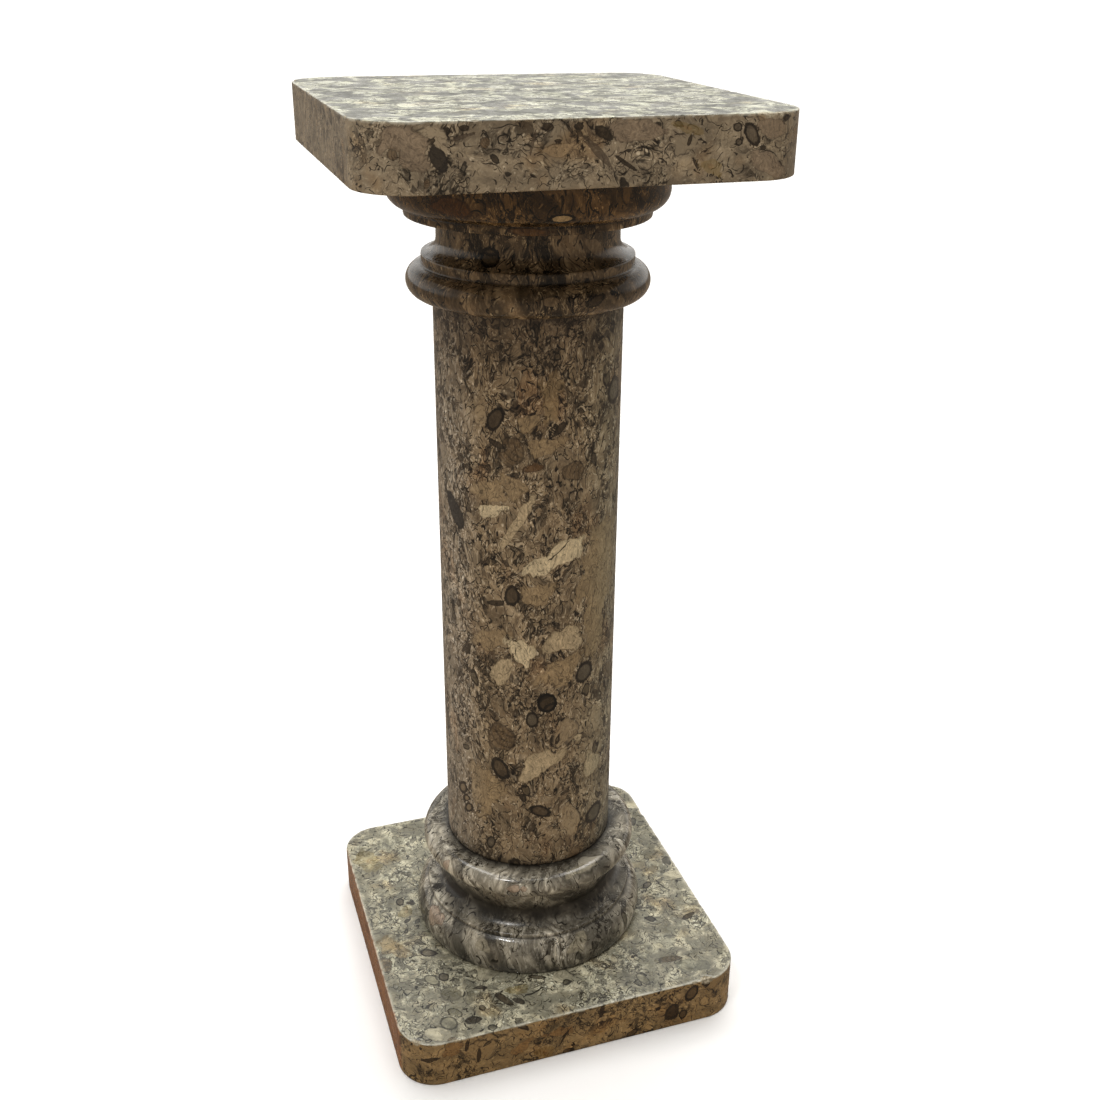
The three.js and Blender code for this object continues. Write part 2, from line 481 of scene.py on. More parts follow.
def makeScatter():
    # One ellipsoid in each cell of stone, long in a random direction, cut by the surface. Long, Wide and
    # Rim are shares of the cell, and Amount is the share of cells that hold one.
    group, given = newGroup(
        'scatteredShells', {'Vector': ['Place'], 'Float': ['Cell', 'Long', 'Wide', 'Rim', 'Amount']},
        {'Float': ['Rim', 'Core', 'Chance']})
    local, turn, other = stoneCells(given)
    heading = vectorMaths('NORMALIZE', vectorMaths('SUBTRACT', turn, middle))
    lengthways = vectorMaths('DOT_PRODUCT', local, heading, 1)
    square = vectorMaths('DOT_PRODUCT', local, local, 1)
    sideways = maths('SQRT', maths('MAXIMUM', minus(square, times(lengthways, lengthways)), 0.0))
    lots = put('SeparateColor', {'Color': other})
    size = step(lots[0], 0.0, 1.0, 0.6, 1.0)
    lengthways = maths('DIVIDE', lengthways, times(given['Long'], size))
    sideways = maths('DIVIDE', sideways, times(given['Wide'], size))
    reach = maths('SQRT', plus(times(lengthways, lengthways), times(sideways, sideways)))
    whole = times(step(reach, 1.04, 0.94), maths('LESS_THAN', lots[1], given['Amount']))
    inner = minus(1.0, given['Rim'])
    core = times(step(reach, plus(inner, 0.05), minus(inner, 0.08)), whole)
    return finished(group, {'Rim': minus(whole, core), 'Core': core, 'Chance': lots[2]})


def makeThinPlates():
    # Two thin curved plates in each cell of stone, which the surface cuts as hairlines. Thin and Wide are
    # half sizes as shares of the cell, and Amount is the share of cells that hold them.
    group, given = newGroup(
        'thinPlates', {'Vector': ['Place'], 'Float': ['Cell', 'Thin', 'Wide', 'Amount']},
        {'Float': ['First', 'Second']})
    apart, curve, off = 0.8, 0.8, 0.1
    local, firstTurn, secondTurn = stoneCells(given)
    lots = put('SeparateColor', {'Color': secondTurn})
    firstTurn, secondTurn = (vectorMaths('SUBTRACT', turn, middle) for turn in (firstTurn, secondTurn))
    moved = vectorMaths('ADD', local, scaled(secondTurn, apart))
    plates = {}
    for label, place, turn, lot in (('First', local, firstTurn, lots[0]),
                                    ('Second', moved, secondTurn, lots[1])):
        along = vectorMaths('DOT_PRODUCT', place, vectorMaths('NORMALIZE', turn), 1)
        out = vectorMaths('LENGTH', place, result=1)
        depth = maths('ABSOLUTE', minus(plus(along, times(out, out, curve)), off))
        plate = step(depth, given['Thin'], times(given['Thin'], 0.45))
        ends = step(out, given['Wide'], times(given['Wide'], 0.8))
        plates[label] = times(plate, ends, maths('LESS_THAN', lot, given['Amount']))
    return finished(group, plates)


def makeLaidFossils():
    # Fossils from the fields on the mesh: a dark rim round a core, with inner rings on some. Patch and
    # Grain, the marble's own noises, make their outlines uneven.
    group, given = newGroup(
        'laidFossils',
        {'Color': ['Color', 'Rim Color', 'Core Color'],
         'Float': ['Reach', 'Ripple', 'Rim', 'Rings', 'Strength', 'Wander', 'Patch', 'Grain', 'Lines']},
        {'Color': ['Color']})
    fullTurn = 6.283
    patch = times(minus(given['Patch'], 0.5), given['Wander'])
    grain = times(minus(given['Grain'], 0.5), 0.42)
    reach = plus(given['Reach'], plus(patch, grain))
    whole = times(step(reach, 1.05, 0.93), given['Strength'])
    inner = minus(1.0, given['Rim'])
    wave = maths('SINE', times(plus(given['Ripple'], grain), given['Rings'], fullTurn))
    ringed = times(step(wave, 0.25, 0.8), 0.75)
    core = times(step(reach, plus(inner, 0.04), minus(inner, 0.08)), minus(1.0, ringed))
    lined = maths('MULTIPLY', given['Lines'], times(given['Wander'], 0.3), clamp=True)
    light = times(step(given['Grain'], 0.3, 0.7, 0.68, 1.3), step(given['Patch'], 0.3, 0.7, 0.82, 1.16))
    coreColour = scaled(given['Core Color'], times(light, minus(1.0, lined)))
    inside = blend(core, given['Rim Color'], coreColour)
    return finished(group, {'Color': blend(whole, given['Color'], inside)})


def makeStreak():
    # One thin dark streak at a given place, turned and sized, laid over a colour
    group, given = newGroup(
        'darkStreak', {'Vector': ['Place', 'Centre', 'Turn', 'Size'], 'Color': ['Color', 'Streak Color']},
        {'Color': ['Color']})
    local = put('Mapping', {'Vector': given['Place'], 'Location': given['Centre'],
                            'Rotation': given['Turn'], 'Scale': given['Size']}, vector_type='TEXTURE')[0]
    whole = step(vectorMaths('LENGTH', local, result=1), 1.1, 0.85, 0.0, 0.9)
    return finished(group, {'Color': blend(whole, given['Color'], given['Streak Color'])})


# The marble's pattern: sizes in mm, shares of a cell for what lies in one, and how close together the
# flowing bands are
pattern = {
    'bend': {'Size': 26, 'Push': 8}, 'rag': {'Size': 6, 'Push': 2.4}, 'ground': 30, 'grain': 1.9, 'patch': 11,
    'crumb': 4.4, 'flow': 46, 'flowTurns': 85.0, 'stain': 38,
    'lumps': {'Cell': 34, 'Long': 0.5, 'Wide': 0.33, 'Rim': 0.08},
    'shells': {'Cell': 18, 'Long': 0.42, 'Wide': 0.24, 'Rim': 0.32},
    'fineHairs': {'Cell': 4.6, 'Thin': 0.1, 'Wide': 0.42},
    'longHairs': {'Cell': 7.4, 'Thin': 0.062, 'Wide': 0.62},
}
marbleColours = ['Dark', 'Mid', 'Pale', 'Lump', 'Sliver', 'Shell Rim', 'Shell Core', 'Ochre']
marbleShares = ['Busy', 'Lumps', 'Slivers', 'Shells', 'Stain', 'Bands', 'Flow', 'Flecks']


def inMetres(sizes):
    return {key: value * mm if key in ('Size', 'Push', 'Cell') else value for key, value in sizes.items()}


def crumbledGround(given, grain, patchy, busy, ragged):
    # Calm tan ground, busy ground of dark and pale crumbs, and small cells of dark, tan and pale
    calm = blend(step(plus(patchy, times(grain, 0.3)), 0.5, 0.8), given['Mid'], given['Lump'])
    crumbs = blend(step(grain, 0.34, 0.47), given['Dark'], given['Mid'])
    crumbs = blend(step(grain, 0.55, 0.65), crumbs, given['Pale'])
    colour = blend(plus(times(busy, 0.62), 0.22), calm, crumbs)
    cells = put('TexVoronoi', {'Vector': ragged, 'Scale': 1 / (pattern['crumb'] * mm)})
    tone = put('SeparateColor', {'Color': cells['Color']})
    share = plus(times(busy, 0.7), 0.2)
    colour = blend(times(step(tone[0], 0.38, 0.25), share, 0.8), colour, given['Dark'])
    colour = blend(times(step(tone[0], 0.76, 0.88), share, 0.75), colour, given['Lump'])
    speck = times(step(cells['Distance'], 0.24, 0.12), step(tone[1], 0.7, 0.75))
    return blend(times(speck, 0.75), colour, given['Pale']), tone[0]


def bedding(given, colour, bent):
    # Light and dark beds, and fine parallel bands that flow with them
    bed = put('Mapping', {'Vector': bent, 'Rotation': given['Bed Turn'], 'Scale': given['Bed']},
              vector_type='TEXTURE')[0]
    beds = put('TexNoise', {'Vector': bed, 'Scale': 1.0, 'Detail': 3.0, 'Roughness': 0.6})[0]
    colour = blend(given['Bands'], colour, scaled(colour, step(beds, 0.34, 0.66, 0.3, 1.7)))
    flow = maths('SINE', times(cloud(bent, pattern['flow'], 1, 0.4), pattern['flowTurns']))
    share = times(step(beds, 0.48, 0.6), given['Flow'], 0.6)
    colour = blend(times(step(flow, 0.1, 0.9), share), colour, given['Pale'])
    return blend(times(step(flow, -0.3, -0.9), share), colour, given['Dark'])


def makeMarble(bending, scatter, plates):
    # Fossil marble: ground and bedding, rounded lumps, squiggled lines, hairlines, slivers, shells and
    # ochre stains
    group, given = newGroup(
        'fossilMarble',
        {'Vector': ['Place', 'Bed', 'Bed Turn'], 'Color': marbleColours, 'Float': marbleShares},
        {'Color': ['Color'], 'Vector': ['Ragged'],
         'Float': ['Ground', 'Patch', 'Grain', 'Lines', 'Hardness']})
    bent = use(bending, {'Place': given['Place'], **inMetres(pattern['bend'])})[0]
    ragged = use(bending, {'Place': bent, **inMetres(pattern['rag'])})[0]
    ground = cloud(bent, pattern['ground'], 1.5, 0.6)
    grain = cloud(ragged, pattern['grain'], 3, 0.8)
    patchy = cloud(bent, pattern['patch'], 2, 0.6)
    busy = step(plus(ground, given['Busy']), 0.42, 0.58)
    colour, cellTone = crumbledGround(given, grain, patchy, busy, ragged)
    colour = bedding(given, colour, bent)

    lumps = use(scatter, {'Place': ragged, 'Amount': given['Lumps'], **inMetres(pattern['lumps'])})
    lumpTone = blend(step(grain, 0.35, 0.7, 0.0, 0.4), given['Lump'], given['Mid'])
    lumpShade = scaled(lumpTone, step(lumps['Chance'], 0.0, 1.0, 0.7, 1.2))
    colour = blend(times(lumps['Core'], 0.88), colour, lumpShade)
    colour = blend(times(lumps['Rim'], step(patchy, 0.42, 0.54), 0.75), colour, given['Sliver'])
    clearOfLumps = minus(1.0, times(lumps['Core'], 0.6))

    # Squiggled lines, where a cloudy field crosses its middle value
    fineLines, longLines = (ragged, 5.4, 1, 0.036, 0.9, patchy), (bent, 13, 2, 0.012, 0.8, ground)
    for field, size, detail, width, strength, mask in (fineLines, longLines):
        level = maths('ABSOLUTE', minus(cloud(field, size, detail, 0.5), 0.5))
        line = times(step(level, width, width * 0.4), strength, step(mask, 0.45, 0.54))
        line = times(line, clearOfLumps, plus(times(busy, 0.65), 0.35))
        colour = blend(line, colour, given['Sliver'])

    # Hairlines and slivers, from two families of plates
    lines = times(step(grain, 0.4, 0.3), 0.5)
    fineTones = (('First', 'Pale', given['Flecks']), ('Second', 'Sliver', 0.9))
    longTones = (('First', 'Sliver', 0.95), ('Second', 'Sliver', 0.85))
    for hairs, shift, tones in (('fineHairs', 0.37, fineTones), ('longHairs', 0.53, longTones)):
        shifted = vectorMaths('ADD', ragged, (shift, shift, shift))
        found = use(plates, {'Place': shifted, 'Amount': given['Slivers'], **inMetres(pattern[hairs])})
        for label, tone, strength in tones:
            if tone == 'Sliver':
                lines = maths('MAXIMUM', lines, found[label])
            colour = blend(times(found[label], strength, clearOfLumps), colour, given[tone])

    shells = use(scatter, {'Place': ragged, 'Amount': given['Shells'], **inMetres(pattern['shells'])})
    coreShade = scaled(given['Shell Core'], step(grain, 0.3, 0.7, 0.65, 1.35))
    colour = blend(times(shells['Core'], 0.9), colour, coreShade)
    colour = blend(times(shells['Rim'], 0.92), colour, given['Shell Rim'])
    stain = times(step(cloud(given['Place'], pattern['stain'], 2, 0.6), 0.55, 0.72), given['Stain'])
    colour = blend(stain, colour, given['Ochre'], 'SOFT_LIGHT')
    return finished(group, {
        'Color': colour, 'Ragged': ragged, 'Ground': ground, 'Patch': patchy, 'Grain': grain, 'Lines': lines,
        'Hardness': maths('MAXIMUM', lumps['Core'], cellTone),
    })


def makeFinish():
    # Polish that is uneven, dull in the chips, with fine pits and a slow waviness for the bump
    group, given = newGroup(
        'wornPolish', {'Vector': ['Place'], 'Float': ['Hardness', 'Chip', 'Low', 'High']},
        {'Float': ['Roughness', 'Height']})
    smearSize, pitSize, waveSize, raspSize, chipRoughness = 16, 1.6, 9, 1.1, 0.75
    place = given['Place']
    share = plus(times(cloud(place, smearSize, 2, 0.65), 0.9), times(given['Hardness'], -0.25))
    rough = put('MapRange', {'Value': share, 'From Min': 0.1, 'From Max': 0.6, 'To Min': given['Low'],
                             'To Max': given['High']})[0]
    rough = put('Mix', {0: given['Chip'], 2: rough, 3: chipRoughness}, data_type='FLOAT')[0]
    pits = times(step(cloud(place, pitSize, 0, 0.5), 0.34, 0.42), 0.25)
    wave = times(cloud(place, waveSize, 0, 0.5), 0.6)
    rasp = times(cloud(place, raspSize, 1, 0.75), given['Chip'], 2.5)
    return finished(group, {'Roughness': rough, 'Height': plus(plus(pits, wave), rasp)})


laidFossils = makeLaidFossils()
darkStreak = makeStreak()
marble = makeMarble(makeBending(), makeScatter(), makeThinPlates())
wornPolish = makeFinish()
print('Node groups built')


# Camera, and the places on the stone that its picture shows

view = {
    'azimuth': -19.12, 'elevation': 24.70, 'roll': 0.82, 'lens': 42.169, 'sensor': 36, 'picture': 1100,
    'shift': (-0.01697, -0.0041), 'place': (-0.28345, -0.91869, 0.85016),
}


def cameraAxes(spec):
    # Turned left of the front, looking down, with a slight roll
    turn, lift, roll = (math.radians(spec[key]) for key in ('azimuth', 'elevation', 'roll'))
    back = Vector((math.sin(turn) * math.cos(lift), -math.cos(turn) * math.cos(lift), math.sin(lift)))
    right = Vector((math.cos(turn), math.sin(turn), 0))
    up = back.cross(right)
    return right * math.cos(roll) + up * math.sin(roll), up * math.cos(roll) - right * math.sin(roll), back


def pictureRay(x, y):
    # From the camera through a point of the picture
    right, up, back = cameraAxes(view)
    focal = view['lens'] / view['sensor'] * view['picture']
    across = (x / view['picture'] - 0.5 + view['shift'][0]) * view['picture'] / focal
    rise = (0.5 - y / view['picture'] + view['shift'][1]) * view['picture'] / focal
    return Vector(view['place']), right * across + up * rise - back


def meetPlane(x, y, point, out):
    eye, ray = pictureRay(x, y)
    return eye + ray * (point - eye).dot(out) / ray.dot(out)


def meetStone(x, y, wall, shape):
    # Where the ray meets a slab's top or front, or a turned piece whose section is given as radius and
    # height, with the outward direction there
    if wall != 'turned':
        top = (shape['height'] + shape['thickness']) * mm
        point = Vector((0, -shape['side'] / 2 * mm, top))
        out = Vector((0, 0, 1)) if wall == 'top' else Vector((0, -1, 0))
        return meetPlane(x, y, point, out), out
    nearest, farthest, samples, probe = 0.7, 1.5, 8001, 0.5
    eye, ray = pictureRay(x, y)
    track = np.array(eye) + np.linspace(nearest, farthest, samples)[:, None] * np.array(ray)
    radius = np.interp(track[:, 2] / mm, shape[:, 1], shape[:, 0], left=0, right=0)
    point = Vector(track[np.argmax(np.hypot(track[:, 0], track[:, 1]) / mm < radius)])
    below, above = np.interp(point.z / mm + np.array([-probe, probe]), shape[:, 1], shape[:, 0])
    out = Vector((point.x, point.y, 0)).normalized() + Vector((0, 0, float(below - above)))
    return point, out.normalized()


# Kinds of fossil: rim share, rings inside, strength, how far the outline wanders, rim colour, core colour
kinds = {
    'shell': (0.3, 0, 0.95, 0.3, (34, 26, 18), (96, 86, 70)),
    'greyShell': (0.2, 0, 0.9, 0.2, (66, 60, 47), (142, 133, 110)),
    'thin': (0.16, 0, 0.5, 0.2, (66, 60, 48), (128, 118, 94)),
    'brownShell': (0.32, 0, 0.95, 0.4, (28, 21, 14), (84, 70, 52)),
    'ring': (0.42, 0, 0.95, 0.3, (44, 33, 22), (124, 104, 76)),
    'fan': (0.12, 2.6, 0.75, 0.6, (50, 38, 25), (108, 88, 62)),
    'dark': (0.3, 0, 0.9, 0.6, (34, 26, 17), (56, 45, 31)),
    'black': (0.28, 1.2, 1.0, 0.15, (14, 10, 7), (66, 54, 38)),
    'brightOval': (0.32, 0, 0.98, 0.1, (22, 17, 12), (196, 182, 158)),
    'charcoal': (0.2, 0, 0.95, 0.6, (42, 37, 31), (54, 48, 41)),
    'leaf': (0.35, 0, 0.95, 0.3, (40, 38, 30), (82, 82, 68)),
    'band': (0.2, 0, 0.75, 0.6, (72, 60, 46), (82, 70, 56)),
    'pale': (0.05, 0, 0.9, 1.4, (92, 75, 52), (190, 171, 138)),
    'dullPale': (0.05, 0, 0.75, 0.9, (58, 46, 32), (124, 105, 80)),
    'cream': (0.04, 0, 0.9, 1.7, (104, 86, 60), (218, 201, 166)),
    'greyPale': (0.05, 0, 0.5, 1.8, (124, 116, 96), (176, 167, 142)),
    'tan': (0.04, 0, 0.85, 1.6, (88, 70, 47), (158, 136, 103)),
    'greyTan': (0.04, 0, 0.85, 0.9, (80, 69, 54), (144, 128, 106)),
    'ochreTan': (0.04, 0, 0.6, 2.0, (110, 86, 52), (158, 134, 96)),
    'brown': (0.2, 0, 0.8, 0.9, (62, 41, 22), (96, 66, 35)),
    'ochre': (0.6, 0, 0.45, 1.3, (138, 118, 66), (152, 118, 54)),
    'grey': (0.2, 0, 0.7, 1.0, (112, 107, 90), (130, 124, 104)),
    'pink': (0.1, 0, 0.85, 1.0, (110, 94, 80), (172, 152, 132)),
}


def stoneOval(row, wall, shape, depth):
    # A row is read in the picture: x, y, length and width in its 1100 pixels, and lean in
    # degrees. The oval that it draws there is laid on the stone, as a centre, three axes and half sizes.
    x, y, long, wide, lean = row
    nudge, longest = 0.25, 0.6 * long * mm
    centre, out = meetStone(x, y, wall, shape)
    sideways = Vector((1, 0, 0)) if wall == 'top' else Vector((-out.y, out.x, 0)).normalized()
    upwards = out.cross(sideways)
    across, down = math.cos(math.radians(lean)), math.sin(math.radians(lean))
    spans = []
    for stepAcross, stepDown, size in ((across, -down, long), (down, across, wide)):
        moved = meetPlane(x + stepAcross * nudge, y + stepDown * nudge, centre, out) - centre
        spans.append([moved.dot(sideways) / nudge * size / 2, moved.dot(upwards) / nudge * size / 2])
    turned, reaches = np.linalg.svd(np.array(spans).T)[:2]
    lengthways = sideways * float(turned[0, 0]) + upwards * float(turned[1, 0])
    axes = Matrix((lengthways, out.cross(lengthways), out)).transposed()
    reaches = np.minimum(reaches, longest)
    return centre, axes, (*[float(value) for value in reaches], max(depth * mm, float(reaches[1])))


def layFossils(piece, fossils, shape, depth=7):
    # Gives every point of the mesh the fossil that it lies in or is nearest to: how far out it is, 1 on
    # the oval's edge, with that kind's rim share, rings, strength and colours. The outline swells and
    # shrinks by a few waves round the oval. Ripple grows from a point outside one end.
    farAway, claimed, rippleFrom = 9.0, 1.25, 1.3
    waveCounts, waveSize, waveShare, phases = (2, 3, 5), 0.4, 0.6, 6.3
    mesh = piece.data
    points = np.empty(3 * len(mesh.vertices), dtype=np.float32)
    mesh.vertices.foreach_get('co', points)
    points = points.reshape(-1, 3)
    nearest = np.full(len(points), farAway)
    ripple = np.zeros(len(points))
    chosen = np.zeros(len(points), dtype=int)
    names = list(kinds)
    draw = np.random.RandomState(len(fossils))
    for (kind, wall), rows in fossils.items():
        for row in rows:
            centre, axes, size = stoneOval(row, wall, shape, depth)
            local = (points - np.array(centre)) @ np.array(axes) / np.array(size)
            bearing = np.arctan2(local[:, 1], local[:, 0])
            waves = 0
            for count in waveCounts:
                waves = waves + waveSize / count * np.sin(count * bearing + draw.uniform(0, phases))
            reach = np.linalg.norm(local, axis=1) * (1 + kinds[kind][3] * waveShare * waves)
            taken = (reach < claimed) | (reach < nearest)
            nearest[taken] = reach[taken]
            ripple[taken] = np.hypot(local[taken, 0] + rippleFrom, local[taken, 1])
            chosen[taken] = names.index(kind)
    writeField(mesh, 'fossilReach', nearest)
    writeField(mesh, 'fossilRipple', ripple)
    for column, label in enumerate(('fossilRim', 'fossilRings', 'fossilStrength', 'fossilWander')):
        writeField(mesh, label, np.array([kinds[name][column] for name in names])[chosen])
    for column, label in ((4, 'fossilRimColour'), (5, 'fossilCoreColour')):
        colours = np.array([paint(*kinds[name][column]) for name in names])[chosen]
        writeField(mesh, label, colours, 'FLOAT_COLOR', 'color')


def fieldValue(tree, name, output='Fac'):
    return put('Attribute', {}, tree, attribute_name=name, attribute_type='GEOMETRY')[output]


def fossilColour(tree, stone):
    values = {label: stone[label] for label in ('Color', 'Patch', 'Grain', 'Lines')}
    for label in ('Reach', 'Ripple', 'Rim', 'Rings', 'Strength', 'Wander'):
        values[label] = fieldValue(tree, 'fossil' + label)
    for label in ('Rim', 'Core'):
        values[label + ' Color'] = fieldValue(tree, 'fossil' + label + 'Colour', 'Color')
    return use(laidFossils, values)['Color']


def layStreaks(colour, ragged, streaks, shape, tone, depth=3):
    for wall, rows in streaks.items():
        for row in rows:
            centre, axes, size = stoneOval(row, wall, shape, depth)
            colour = use(darkStreak, {'Color': colour, 'Place': ragged, 'Centre': centre,
                                      'Turn': axes.to_euler(), 'Size': size, 'Streak Color': tone})[0]
    return colour


def startMaterial(name, piece, look, shape, fossils, streaks):
    # The shared marble with this piece's own colours and placed fossils, before its wear
    material = bpy.data.materials.new(name)
    tree = emptyTree(material)
    place = put('TexCoord', {}, tree)['Object']
    drawn = vectorMaths('ADD', vectorMaths('MULTIPLY', place, look['squeeze']), look['shift'])
    values = {'Place': drawn, 'Bed': look['bed'], 'Bed Turn': look['bedTurn']}
    values.update({label: look[label.lower()] for label in marbleShares})
    values.update({label: paint(*look[label]) for label in marbleColours})
    stone = use(marble, values)
    ragged = vectorMaths('SUBTRACT', stone['Ragged'], look['shift'])
    ragged = vectorMaths('DIVIDE', ragged, look['squeeze'])
    piece.data.materials.append(material)
    layFossils(piece, fossils, shape)
    colour = layStreaks(fossilColour(tree, stone), ragged, streaks, shape, paint(*look['Sliver']))
    return tree, place, stone, colour


def endMaterial(place, stone, colour, chip, look):
    stoneIor = 1.5
    polish = use(wornPolish, {'Place': place, 'Hardness': stone['Hardness'], 'Chip': chip,
                              'Low': look['roughLow'], 'High': look['roughHigh']})
    bump = put('Bump', {'Strength': 1.0, 'Distance': look['bumpHeight'] * mm, 'Height': polish['Height']})
    shader = put('BsdfPrincipled', {'Base Color': colour, 'Roughness': polish['Roughness'],
                                    'Normal': bump[0], 'IOR': stoneIor})
    put('OutputMaterial', {'Surface': shader[0]})


def turnedMaterial(name, piece, look, line, fossils, streaks):
    # Tinted from one height or side to another with painted light, and darkened in patches by the
    # darkening field: dark joint lines and painted shade
    tree, place, stone, colour = startMaterial(name, piece, look, line, fossils, streaks)
    axes = put('SeparateXYZ', {'Vector': place})
    # Painted light: reflection and shade, tinted along an axis
    for axis, start, stop, tint in look['paintedLightTints']:
        colour = blend(step(axes[axis], start * mm, stop * mm), colour, tinted(colour, tint))
    # The darkening field, dark joint lines and painted shade, takes a dark colour in patches
    jointsAndShade = fieldValue(tree, 'jointsAndShade')
    darkening = times(jointsAndShade, step(cloud(place, look['darkeningPatch'], 2, 0.6), 0.2, 0.6, *look['darkening']))
    colour = blend(darkening, colour, paint(*look['darkeningColour']))
    endMaterial(place, stone, colour, times(jointsAndShade, look['grimeDull']), look)


# Looks: colours from 0 to 255, amounts of what lies in the stone as shares, and the size and turn of the
# bedding. Shift moves the pattern to another part of the stone and squeeze shrinks or stretches it. The
# tints of painted light are an axis, where the tint starts and is full in mm, and the tint: the shaft is
# greyer towards both sides and paler towards -X, a painted reflection, and darker under the capital, painted
# shade.
shaftLook = {
    'Dark': (35, 25, 15), 'Mid': (135, 116, 90), 'Pale': (230, 213, 183), 'Lump': (162, 143, 114),
    'Sliver': (20, 13, 7), 'Shell Rim': (34, 25, 16), 'Shell Core': (92, 80, 60), 'Ochre': (184, 130, 70),
    'lumps': 0.5, 'slivers': 1.0, 'shells': 0.3, 'stain': 0.3, 'bands': 0.4, 'flow': 0.3, 'busy': 0.05,
    'flecks': 0.4, 'bed': (0.03, 0.03, 0.012), 'bedTurn': (0.5, 0.35, 0),
    'shift': (0.13, 0.41, 0.27), 'squeeze': (1.15, 1.15, 0.7),
    'roughLow': 0.24, 'roughHigh': 0.5, 'bumpHeight': 0.12,
    'darkening': (0.8, 0.8), 'darkeningPatch': 12, 'darkeningColour': (36, 28, 20), 'grimeDull': 0.3,
    # Painted reflection towards +X and -X, painted shade under the capital
    'paintedLightTints': [
        (0, 5, 68, (0.98, 1.16, 1.3, 1)), (0, -50, -71, (1.26, 1.4, 1.7, 1)),
        (2, 550, 615, (0.58, 0.55, 0.53, 1)),
    ],
}
shaftFossils = {
    ('tan', 'turned'): [
        (527, 424, 23, 18, 90), (544, 447, 32, 20, 0), (494, 491, 35, 30, 0), (514, 488, 24, 20, 0),
        (598, 578, 111, 37, 88), (537, 595, 32, 28, 0), (490, 639, 32, 21, 0), (562, 672, 47, 28, 42),
        (485, 790, 54, 30, 85),
    ],
    ('ochreTan', 'turned'): [(552, 394, 37, 23, 90)],
    ('pale', 'turned'): [
        (502, 671, 27, 23, 45), (537, 766, 50, 23, 40), (519, 521, 60, 12, 58), (566, 640, 35, 27, 5),
        (591, 763, 21, 17, 50), (578, 737, 8, 8, 0),
    ],
    ('cream', 'turned'): [(491, 510, 32, 11, -5), (559, 557, 62, 24, 30), (522, 654, 35, 19, 105)],
    ('brown', 'turned'): [(534, 468, 24, 8, 5)],
    ('fan', 'turned'): [
        (511, 452, 30, 28, 0), (500, 738, 30, 27, 0), (574, 471, 23, 20, 30), (608, 669, 20, 9, 80),
    ],
    ('dark', 'turned'): [
        (496, 444, 20, 6, -35), (566, 405, 5, 5, 0), (560, 429, 21, 7, 50), (515, 562, 5, 5, 0),
        (497, 603, 20, 6, -3), (523, 798, 11, 6, -60),
    ],
    ('brownShell', 'turned'): [
        (495, 419, 26, 16, 65), (512, 596, 21, 16, 100), (500, 768, 26, 15, -50), (540, 811, 22, 12, -15),
    ],
    ('charcoal', 'turned'): [(455, 510, 40, 10, -72)],
    ('black', 'turned'): [(547, 703, 21, 20, 0)],
    ('shell', 'turned'): [
        (614, 390, 29, 11, 82), (584, 672, 26, 14, 60), (532, 720, 17, 13, 95), (594, 812, 26, 11, 58),
        (491, 842, 13, 9, 82),
    ],
    ('ring', 'turned'): [(463, 787, 13, 10, 90), (467, 798, 9, 9, 0), (469, 807, 11, 10, 90)],
}
shaftStreaks = {
    'turned': [
        (558, 550, 22, 1.5, 40), (567, 563, 17, 1.6, 5), (562, 655, 24, 1.8, 10), (516, 655, 12, 1.5, 90),
    ],
}
turnedMaterial('shaftMarble', shaftStone, shaftLook, shaftLine, shaftFossils, shaftStreaks)

turnedLook = {
    'Dark': (54, 49, 40), 'Mid': (137, 131, 117), 'Pale': (230, 224, 207), 'Lump': (176, 169, 152),
    'Sliver': (36, 31, 24), 'Shell Rim': (40, 35, 28), 'Shell Core': (96, 90, 76), 'Ochre': (150, 122, 86),
    'lumps': 0.04, 'slivers': 0.4, 'shells': 0.06, 'stain': 0.2, 'bands': 0.9, 'flow': 0.8, 'busy': -0.02,
    'flecks': 0.3, 'bed': (0.045, 0.05, 0.007), 'bedTurn': (0.45, 0.5, 0),
    'shift': (0.71, 0.23, 0.57), 'squeeze': (0.85, 0.85, 0.42),
    'roughLow': 0.06, 'roughHigh': 0.27, 'bumpHeight': 0.1,
    'darkening': (0.78, 1.0), 'darkeningPatch': 12, 'darkeningColour': (27, 23, 16), 'grimeDull': 0.35, 'paintedLightTints': [],
}
# The capital's palette is darker and browner than the base's: partly the stone's own tone, partly painted
# shade under the top slab. Its tint from 672 to 692 mm darkens and warms the upper part, partly painted
# shade.
capitalLook = dict(
    turnedLook, Dark=(28, 20, 12), Mid=(94, 78, 58), Pale=(190, 168, 134), Lump=(116, 97, 72),
    Sliver=(20, 14, 9), slivers=0.8, bands=0.8, flow=0.3, shift=(0.31, 0.83, 0.17),
    darkening=(0.5, 0.85), darkeningColour=(30, 23, 15), paintedLightTints=[(2, 672, 692, paint(206, 188, 158))],
)
baseFossils = {
    ('pink', 'turned'): [
        (446, 865, 10, 7, 90), (515, 889, 15, 8, 0), (524, 889, 7, 6, 0), (433, 915, 20, 12, 80),
        (440, 919, 12, 9, 80),
    ],
    ('charcoal', 'turned'): [(601, 881, 18, 12, 60), (456, 890, 28, 12, -30)],
    ('greyPale', 'turned'): [(578, 870, 24, 9, 20), (577, 945, 24, 15, 30), (483, 947, 21, 8, -25)],
}
